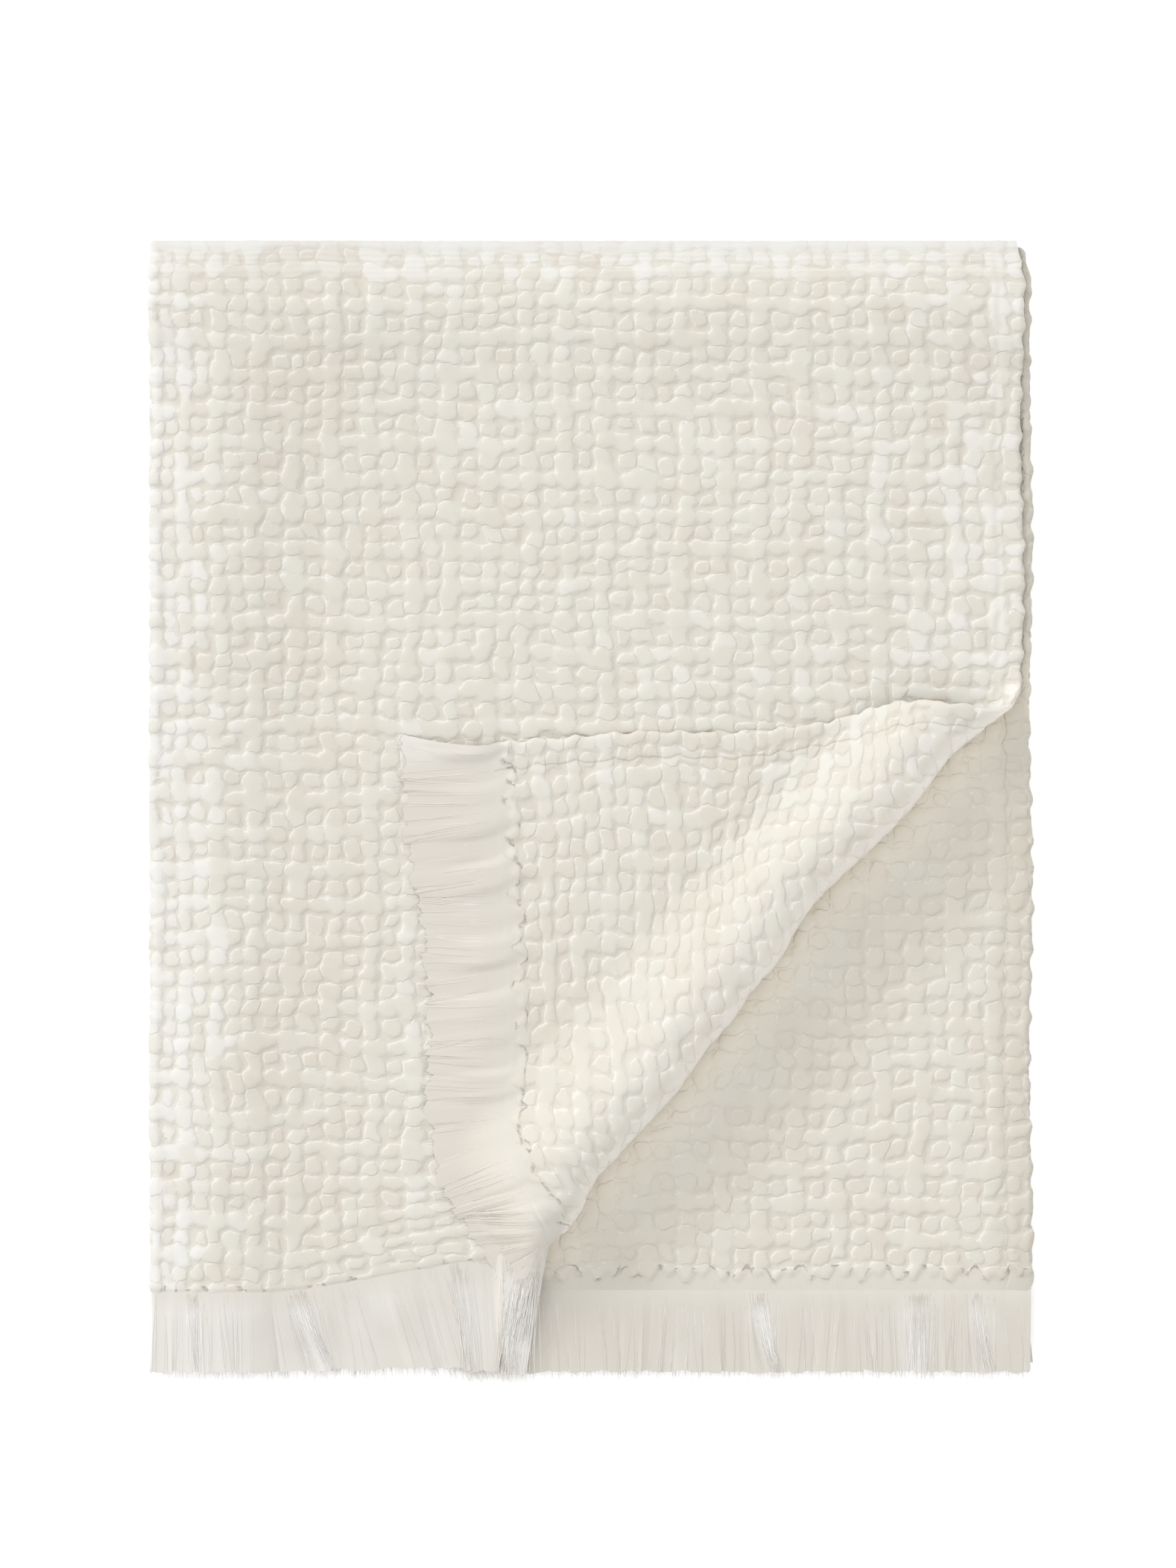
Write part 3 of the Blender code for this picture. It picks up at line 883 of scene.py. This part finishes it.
class Finish:
    """One material, or the light from all round, and the nodes that make it."""

    def __init__(self, owner, shader="Principled BSDF"):
        owner.use_nodes = True
        self.owner = owner
        self.shader = owner.node_tree.nodes[shader]

    def feed(self, socket, value):
        """Link a socket to a value, or set it; colours are given without their fourth number."""
        if isinstance(value, Value):
            self.owner.node_tree.links.new(value.socket, socket)
        elif socket.type == "RGBA":
            socket.default_value = tuple(value) + (1.0,)
        else:
            socket.default_value = value

    def node(self, kind, settings, sockets, output=0):
        """An output of a node, with its settings made first, then what its sockets hold."""
        made = self.owner.node_tree.nodes.new(kind)
        for name, setting in settings.items():
            setattr(made, name, setting)
        for name, value in sockets.items():
            self.feed(made.inputs[name], value)
        return Value(self, made.outputs[output])

    def stored(self, name, output="Fac"):
        """A value kept on the mesh."""
        return self.node("ShaderNodeAttribute", {"attribute_name": name}, {}, output)

    def parts(self, vector):
        """The three numbers of a vector."""
        first = self.node("ShaderNodeSeparateXYZ", {}, {0: vector})
        return [Value(self, output) for output in first.socket.node.outputs]

    def join(self, x, y, z):
        """A vector from three numbers."""
        return self.node("ShaderNodeCombineXYZ", {}, {0: x, 1: y, 2: z})

    def noise(self, vector, scale, detail=2.0, output="Fac"):
        """A soft random pattern from 0 to 1, or three of them as its colour."""
        settings = {"Vector": vector, "Scale": scale, "Detail": detail}
        return self.node("ShaderNodeTexNoise", {}, settings, output)

    def moved(self, values, vector, scale, reach):
        """Three numbers, each moved up and down at random by up to half of reach."""
        swing = {0: self.noise(vector, scale, output="Color"), 1: (reach,) * 3, 2: (-reach / 2,) * 3}
        by = self.node("ShaderNodeVectorMath", {"operation": "MULTIPLY_ADD"}, swing)
        return self.node("ShaderNodeVectorMath", {"operation": "ADD"}, {0: values, 1: by})

    def blend(self, share, first, second):
        """A colour between two others."""
        return self.node("ShaderNodeMix", {"data_type": "RGBA"}, {0: share, 6: first, 7: second}, 2)

    def raised(self, height):
        """The normal of a surface raised by a height in metres."""
        return self.node("ShaderNodeBump", {}, {"Strength": 1.0, "Distance": 1.0, "Height": height})

    def shade(self, **sockets):
        """Feed the shader, and return what it belongs to."""
        for name, value in sockets.items():
            self.feed(self.shader.inputs[name.replace("_", " ")], value)
        return self.owner


def puff_looks(finish, cloth, fine):
    """Where the weave puffs up, where highlight is painted on lit rims, and shade in creases and hollows."""
    even, odd, low = finish.parts(finish.moved(finish.stored("puffs", "Vector"), cloth, 240.0, 0.36))
    leans = finish.parts(finish.stored("lean", "Vector"))
    highest = even.larger(odd).larger(low)
    next_one = even.larger(odd).smaller(low).larger(even.smaller(odd))
    lean = leans[0] * even.reaches(highest) + leans[1] * odd.reaches(highest)
    lean = lean + leans[2] * low.reaches(highest)
    inside = highest - next_one.larger(0.0)
    shown = lean.eased(-0.06, 0.06)
    puffed = inside.eased(0.0, 0.40) * (1 - shown) + inside.eased(0.0, 0.22) * shown
    standing = highest.eased(-0.05, 0.05) * fine
    # painted highlight on the rim of each puff's side that faces the key light
    rim = (1 - inside.eased(0.04, 0.26)) * standing * lean.eased(0.0, 0.12) * 0.85
    # painted shade in the crease on the side turned away from it
    crease = (1 - inside.eased(0.0, 0.10)) * standing * (1 - lean.eased(-0.10, 0.0))
    # painted shade in the hollows between the puffs
    hollow_shade = (1 - highest.eased(0.0, 0.25)) * fine
    return puffed * fine, rim, crease, hollow_shade


def fine_threads(finish, cloth, across, along):
    """Threads of the weave, in patches that run over the cloth and patches that run up it."""
    wander = finish.noise(cloth, 260.0) * 5
    over = finish.noise(cloth, 60.0).eased(0.4, 0.6)
    return (across * THREADS + wander).sine() * over + (along * THREADS + wander).sine() * (1 - over)


def weave_finish(settings):
    """Cotton in puffs and fine threads, painted with the light and shade of its creases, rims, roll and
    folds.
    """
    finish = Finish(bpy.data.materials.new("Cream cotton weave"))
    cloth = finish.stored("cloth", "Vector")
    across, along, fine = finish.parts(cloth)
    tint, edge, glow = [finish.stored(name) for name in ("tint", "edge", "glow")]
    puffed, rim, crease, hollow_shade = puff_looks(finish, cloth, fine)
    threads = fine_threads(finish, cloth, across, along)
    # relief
    ironed = along.beside(0.008, 0.050)
    lines = (along * IRONED_LINES + finish.noise(cloth, 40.0) * 9).sine()
    seam = finish.stored("seam") + finish.noise(cloth, 90.0) * 0.003 - 0.0015
    stitch = seam.beside(0.0002, 0.0014)
    hem = 1 - seam.eased(-0.0008, 0.0008)
    combed = finish.noise(finish.join(across, along * 0.07, 0.0), 420.0, 3.0)
    band = along.away().eased(*PLAIN_BAND) * (1 - fine)
    height = threads * THREAD_HEIGHT + puffed * (1 - ironed * 0.6) * TUCK_HEIGHT
    height = height + lines * ironed * LINE_HEIGHT + combed * band * COMBED_HEIGHT
    height = height + hem * HEM_HEIGHT - stitch * STITCH_DEPTH
    # warm and pale patches at random, with painted shade and highlight from the ridges by the folds
    mottle = finish.noise(cloth, 14.0) * 1.4 - 0.7
    outer = across.eased(0.0, 0.01)
    # painted shade on the far slope of the ridge beside the long fold
    ridge_shade = across.eased(0.050, 0.110) * (1 - across.eased(0.130, 0.200))
    warm = (hollow_shade * 0.3 + tint * 0.35 + mottle + ridge_shade * 0.3 + 0.1).eased(0.0, 1.0)
    # painted highlight near the folds, on the ridges' lit slopes, and by the outer selvedge
    painted_highlight = across.beside(0.010, 0.080).larger(ironed)
    painted_highlight = painted_highlight.larger((1 - edge.eased(0.040, 0.130)) * outer * 0.55)
    # pale patches at random, raised by painted highlight and the lit rims, held back in painted shade
    pale = painted_highlight * 0.9 - (mottle * 0.8 + tint * 0.6 + hollow_shade) * (1 - painted_highlight * 0.6) - ridge_shade * 0.2 - 0.1
    pale = pale.eased(0.0, 1.2).larger(rim)
    # painted shade in creases, by the roll, by the lower selvedge and on the folds' outer lines; dark
    # stitches
    crease_shade_and_stitches = (crease * (0.35 + glow.larger(0.0) * 0.35)).larger(stitch * 0.28)
    shaded = ((1 - edge.eased(0.0, 0.045)) * along.eased(0.0, 0.01) * 0.42).larger(glow * -0.6)
    outermost = (along.beside(0.0, 0.012) * 0.75).larger(across.beside(0.0, 0.005) * 0.45)
    base = settings.colour
    for share, tinted in (
        (warm, settings.warm_patch_and_shade_colour),
        (pale, settings.pale_and_highlight_colour),
        # painted light on the roll's flank and on the cloth beside it
        (glow * 0.9, finish.blend(outer, settings.painted_glow_colour, settings.flank_light_colour)),
        (crease_shade_and_stitches, settings.shade_and_stitch_colour),
        (band * (0.6 + combed * 0.6), settings.band_colour),
        (shaded * (1 - outer), settings.shade_and_stitch_colour),
        # painted shade on the folds' outer lines and on the roll's crest
        (outermost.larger(glow * outer * -0.6), settings.fold_and_crest_shade_colour),
    ):
        base = finish.blend(share, base, tinted)
    return finish.shade(Base_Color=base, Normal=finish.raised(height), Roughness=0.95,
                        Sheen_Weight=0.08, Specular_IOR_Level=0.15)


def thread_finish(settings):
    """Combed cotton: streaks, painted shade and light on the mat, and paler loose strands."""
    finish = Finish(bpy.data.materials.new("Cream cotton thread"))
    across, run, tint = finish.parts(finish.stored("comb", "Vector"))
    streaks = finish.noise(finish.join(across, run * 0.004, 0.0), 420.0, 3.0)
    patches = finish.noise(finish.join(across, run * 0.03, 0.0), 42.0, 2.0)
    broad = finish.noise(finish.join(across, run * 0.03, 2.0), 9.0)
    shaded = (-1 - tint).larger(0.0)
    # painted highlight near the long fold
    painted_highlight = across.beside(0.020, 0.090)
    warm = (patches * 1.3 + broad * 1.3 - 0.95 + streaks * 0.2 + shaded * 1.4 - painted_highlight).eased(0.0, 1.0)
    base = finish.blend(warm, settings.mat_colour, settings.warm_colour)
    loose = tint.eased(-0.9, 0.9) * run.eased(-0.1, 0.2)
    base = finish.blend(loose * (1 - warm * 0.6) * 0.7, base, settings.colour)
    base = finish.blend(1 - run.eased(-0.1, 0.25), base, settings.root_colour)
    return finish.shade(Base_Color=base, Normal=finish.raised(streaks * STREAK_HEIGHT), Roughness=0.9,
                        Sheen_Weight=0.1, Specular_IOR_Level=0.15)


def floor_finish(settings):
    """A plain pale floor with a faint mottle."""
    finish = Finish(bpy.data.materials.new("Pale floor"))
    place = finish.node("ShaderNodeTexCoord", {}, {}, "Object")
    base = finish.blend(finish.noise(place, 3.0), settings.floor_colour, (0.96, 0.96, 0.96))
    return finish.shade(Base_Color=base, Roughness=0.9, Specular_IOR_Level=0.1,
                        Emission_Color=(1.0, 1.0, 1.0), Emission_Strength=0.32)


# ---------------------------------------------------------------- settings

def size(label, text, default):
    """A length that a user may change."""
    return bpy.props.FloatProperty(name=label, description=text, default=default, unit="LENGTH",
                                   min=0.0, precision=4)


def angle(label, text, degrees, **limits):
    """An angle that a user may change."""
    return bpy.props.FloatProperty(name=label, description=text, default=math.radians(degrees),
                                   unit="ROTATION", **limits)


def amount(label, text, default, **limits):
    """A plain number that a user may change."""
    return bpy.props.FloatProperty(name=label, description=text, default=default, min=0.0, **limits)


def tone(label, text, default):
    """A colour that a user may change."""
    return bpy.props.FloatVectorProperty(name=label, description=text, default=default, size=3,
                                         subtype="COLOR", min=0.0, max=1.0)


class BlanketWeave(bpy.types.PropertyGroup):
    """Sizes and colours of the woven cloth"""
    cell_width: size("Puff width", "Width of one puff of the weave", 0.0144)
    cell_height: size("Puff length", "Length of one puff along the cloth", 0.01303)
    puff_height: size("Puff height", "How far the puffs stand out", 0.0013)
    hem: size("Hem", "Width of the stitched hem along each selvedge", 0.0185)
    header: size("Header", "Length of the plain band before each fringe, right side", 0.0030)
    end_hem: size("End hem", "Length of the plain band before each fringe, wrong side", 0.0150)
    bulge: amount("Bulge", "How much taller the puffs stand on the long edges", 0.7, max=2.0)
    spacing: size("Mesh spacing", "Distance between mesh points where the weave shows", 0.0029)
    unevenness: amount("Unevenness", "How unlike each other the puffs are", 1.0,
                       max=1.5, subtype="FACTOR")
    colour: tone("Cotton", "Colour of the cotton", (0.700, 0.675, 0.600))
    # also the colour of painted highlight on lit rims, near the folds and by the outer selvedge
    pale_and_highlight_colour: tone("Palest puffs", "Colour of the palest puffs and rims", (0.795, 0.782, 0.745))
    # painted shade in creases, beside the roll and by the lower layer's selvedge; also the stitches' colour
    shade_and_stitch_colour: tone("Creases", "Colour where a puff tucks under the next", (0.52, 0.48, 0.40))
    # also the colour of painted shade in the hollows and past the long fold's ridge
    warm_patch_and_shade_colour: tone("Hollows", "Colour of the cloth between the puffs", (0.683, 0.640, 0.562))
    band_colour: tone("Plain bands", "Colour of the plain bands", (0.672, 0.642, 0.578))
    # painted light: the glow of the cloth beside the roll
    painted_glow_colour: tone("Glow", "Colour of the cloth beside the roll", (0.91, 0.845, 0.735))
    # painted light on the roll's steep flank
    flank_light_colour: tone("Flank", "Colour of the roll's steep flank", (0.93, 0.885, 0.82))
    # painted shade on the folds' outer lines and on the roll's crest
    fold_and_crest_shade_colour: tone("Folds", "Colour along the outermost line of the folds", (0.545, 0.54, 0.52))


class BlanketFringe(bpy.types.PropertyGroup):
    """Sizes and colours of both fringes"""
    mat: size("Mat", "Greatest thickness of the matted fringe", 0.0022)
    mat_spacing: size("Mat spacing", "Distance between mesh columns of the mat", 0.0015)
    slant: size("Slant", "How far the combed strands lean at their tips", 0.0060)
    tip: size("Tips", "How unevenly the strands are cut", 0.0018)
    strand: size("Strand", "Thickness of one loose strand", 0.00034)
    strands: bpy.props.IntProperty(
        name="Strands", description="Loose strands on each end", default=2000, min=2)
    steps: bpy.props.IntProperty(
        name="Steps", description="Mesh steps along a strand", default=8, min=2)
    mat_colour: tone("Mat", "Colour of the matted fringe", (0.745, 0.725, 0.680))
    warm_colour: tone("Warmer mat", "Colour of the mat's warmer streaks", (0.665, 0.628, 0.562))
    root_colour: tone("Roots", "Colour where the strands leave the cloth", (0.685, 0.655, 0.592))
    colour: tone("Loose strands", "Colour of the loose strands", (0.96, 0.95, 0.93))


class BlanketStage(bpy.types.PropertyGroup):
    """The camera, the lights and the floor"""
    view_length: size("View length", "Length of the surface that the camera takes in", 1.155)
    camera_height: size("Camera height", "Height of the camera over the floor", 5.0)
    floor_colour: tone("Floor", "Colour of the floor", (0.94, 0.94, 0.94))
    key: amount("Key light", "Strength of the low light", 0.9)
    key_elevation: angle("Key elevation", "Angle of the low light over the floor", 23,
                         min=0.05, max=1.5)
    key_breadth: angle("Key breadth", "Angle that the low light fills, for soft shadows", 22,
                       min=0.0, max=3.0)
    fill: amount("Fill", "Strength of the light from all round", 0.895)
    fill_slope: amount("Fill slope", "How much stronger the fill is on the key light's side", 0.42,
                       max=1.0, subtype="FACTOR")


# ---------------------------------------------------------------- pieces

def put(name, data):
    """A new object in the scene."""
    thing = bpy.data.objects.new(name, data)
    bpy.context.scene.collection.objects.link(thing)
    return thing


def show(name, mesh, material):
    """A piece of the blanket, with its finish."""
    mesh.materials.append(material)
    piece = put(name, mesh)
    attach(piece, "root")
    return piece


class WeaveCloth(bpy.types.Operator):
    """Weave the cloth in its folds, with its hems"""
    bl_idname = "blanket.weave_cloth"
    bl_label = "Weave the cloth"

    def execute(self, context):
        settings = context.scene.blanket_weave
        mesh = cloth_mesh("woven_cloth", settings)
        piece = show("woven_cloth", mesh, weave_finish(settings))
        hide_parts("blanket_cloth")
        return {"FINISHED"}


class CombFringes(bpy.types.Operator):
    """Comb out the strands along both ends"""
    bl_idname = "blanket.comb_fringes"
    bl_label = "Comb the fringes"

    def execute(self, context):
        settings = context.scene.blanket_fringe
        material = thread_finish(settings)
        for end, half in (("upper", +1), ("lower", -1)):
            mesh = fringe_mesh(f"fringe_strands_{end}", half, settings)
            piece = show(f"fringe_strands_{end}", mesh, material)
            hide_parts(f"fringe_{end}_end")
        return {"FINISHED"}


class DeclareSheet(bpy.types.Operator):
    """A step that changes nothing"""
    bl_idname = "blanket.declare_sheet"
    bl_label = "Declare the sheet"

    def execute(self, context):
        return {"FINISHED"}


class SetStage(bpy.types.Operator):
    """Lay the floor and set the lights and the camera"""
    bl_idname = "blanket.set_stage"
    bl_label = "Set the stage"

    def execute(self, context):
        settings = context.scene.blanket_stage
        low, high = (Vector(corner) for corner in CAD_BOX)
        centre = (low + high) / 2
        lay_floor(settings, low.z)
        light_key(settings)
        light_fill(context.scene, settings)
        set_camera(context.scene, settings, centre)
        context.scene.view_settings.view_transform = "Standard"
        return {"FINISHED"}


def lay_floor(settings, height):
    """A floor that runs on well past the view."""
    mesh = bpy.data.meshes.new("floor")
    corners = [(x, y, height) for x, y in SQUARE * FLOOR_REACH]
    mesh.from_pydata(corners, [], [(0, 1, 2, 3)])
    mesh.materials.append(floor_finish(settings))
    put("floor", mesh)


def towards_key(settings):
    """Direction from the blanket to the key light, at the upper left."""
    return Vector((-1, 1, math.sqrt(2) * math.tan(settings.key_elevation))).normalized()


def light_key(settings):
    """A broad low light from the upper left."""
    lamp = bpy.data.lights.new("key light", "SUN")
    lamp.angle = settings.key_breadth
    lamp.energy = settings.key
    light = put("key light", lamp)
    light.location = towards_key(settings)
    light.rotation_euler = towards_key(settings).to_track_quat("Z", "Y").to_euler()


def light_fill(scene, settings):
    """Light from all round, stronger on the key light's side."""
    finish = Finish(bpy.data.worlds.new("Soft studio"), "Background")
    directions = {0: finish.node("ShaderNodeTexCoord", {}, {}, "Generated"), 1: towards_key(settings)}
    facing_key = finish.node("ShaderNodeVectorMath", {"operation": "DOT_PRODUCT"}, directions, "Value")
    strength = settings.fill * (1 + facing_key * settings.fill_slope)
    scene.world = finish.shade(Color=(1.0, 1.0, 1.0), Strength=strength)


def set_camera(scene, settings, centre):
    """A camera straight above, a little up and left of the blanket's middle."""
    lens = bpy.data.cameras.new("camera")
    lens.sensor_width = SENSOR
    lens.lens = SENSOR * settings.camera_height / settings.view_length
    lens.clip_end = CAMERA_REACH
    scene.camera = put("camera", lens)
    scene.camera.location = centre + Vector(CAMERA_PLACE + (settings.camera_height,))


class BlanketPanel(bpy.types.Panel):
    """The blanket's sizes, colours and steps"""
    bl_idname = "VIEW3D_PT_blanket"
    bl_label = "Blanket"
    bl_space_type = "VIEW_3D"
    bl_region_type = "UI"
    bl_category = "Blanket"

    def draw(self, context):
        for name, group, steps in GROUPS:
            box = self.layout.box()
            for setting in group.__annotations__:
                box.prop(getattr(context.scene, name), setting)
            for step in steps:
                box.operator(step)


GROUPS = (
    # name of the settings, their class, and the steps that go with them
    ("blanket_weave", BlanketWeave, ("blanket.weave_cloth",)),
    ("blanket_fringe", BlanketFringe, ("blanket.comb_fringes", "blanket.declare_sheet")),
    ("blanket_stage", BlanketStage, ("blanket.set_stage",)),
)
CLASSES = (BlanketWeave, BlanketFringe, BlanketStage, WeaveCloth, CombFringes, DeclareSheet, SetStage,
           BlanketPanel)


def register():
    """Add the blanket's classes and settings."""
    for item in CLASSES:
        bpy.utils.register_class(item)
    for name, group, _ in GROUPS:
        setattr(bpy.types.Scene, name, bpy.props.PointerProperty(type=group))


def unregister():
    """Take them away again."""
    for name, _, _ in GROUPS:
        delattr(bpy.types.Scene, name)
    for item in reversed(CLASSES):
        bpy.utils.unregister_class(item)


def main():
    """Make the blanket and its stage."""
    register()
    bpy.ops.blanket.weave_cloth()
    bpy.ops.blanket.comb_fringes()
    bpy.ops.blanket.set_stage()
    bpy.ops.blanket.declare_sheet()


if __name__ == "__main__":
    main()
